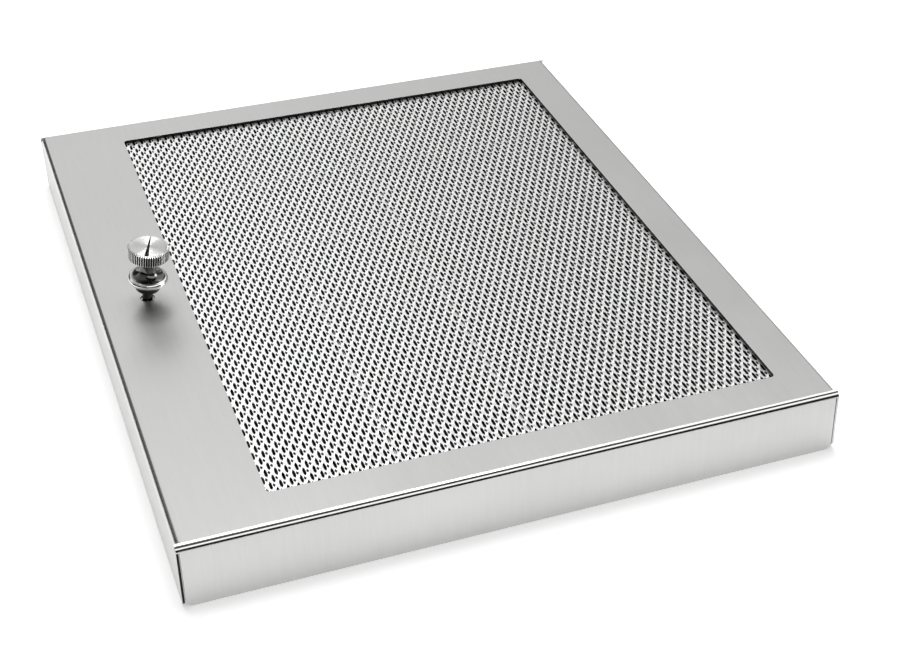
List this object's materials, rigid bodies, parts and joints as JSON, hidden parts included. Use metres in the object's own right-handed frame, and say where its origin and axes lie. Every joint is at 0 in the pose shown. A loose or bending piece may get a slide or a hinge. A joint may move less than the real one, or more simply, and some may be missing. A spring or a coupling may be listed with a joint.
{
  "type": "cooker hood carbon filter",
  "caption": "Flat steel cassette with a mesh window over a grid of carbon cells, held in a cooker hood by a knurled thumb screw.",
  "frame": {"origin": "middle of the footprint, on the plane of the rims that the cassette lies on", "axes": "+Z out of the face that shows in use, -X towards the side with the thumb screw, -Y the front side of the picture"},
  "size_m": [0.305, 0.38, 0.0635],
  "materials": {
    "brushed_sheet": "long vertical brush grain, satin",
    "mesh_steel": "bright expanded mesh with rounded strands",
    "rail_steel": "plain rolled sheet, dull",
    "grid_steel": "plain rolled strip, dull, dusty with carbon",
    "carbon": "loose black pellets",
    "turned_steel": "turned and polished, straight knurl",
    "fastener_steel": "zinc plated"
  },
  "bodies": {
    "cassette": {"outer_frame": "brushed_sheet", "front_mesh": "mesh_steel", "rear_mesh": "mesh_steel", "rail_left": "rail_steel", "rail_right": "rail_steel", "rail_front": "rail_steel", "rail_back": "rail_steel", "long_strip_1": "grid_steel", "long_strip_2": "grid_steel", "long_strip_3": "grid_steel", "cross_strip_1": "grid_steel", "cross_strip_2": "grid_steel", "cross_strip_3": "grid_steel", "cross_strip_4": "grid_steel", "carbon_fill": "carbon", "rear_cover": "rail_steel", "cover_screws": "fastener_steel"},
    "washer": {"retaining_washer": "fastener_steel"},
    "screw": {"thumb_screw": "turned_steel", "retaining_clip": "fastener_steel"}
  },
  "joints": [
    {"name": "screw_slide", "type": "slide", "parent": "cassette", "child": "washer", "axis": [0.1128, -0.0872, 0.9898], "range_m": [-0.0046, 0.0029]},
    {"name": "screw_turn", "type": "hinge", "parent": "washer", "child": "screw", "pos_m": [-0.1277, 0, 0.032], "axis": [0.1128, -0.0872, 0.9898], "continuous": true}
  ]
}
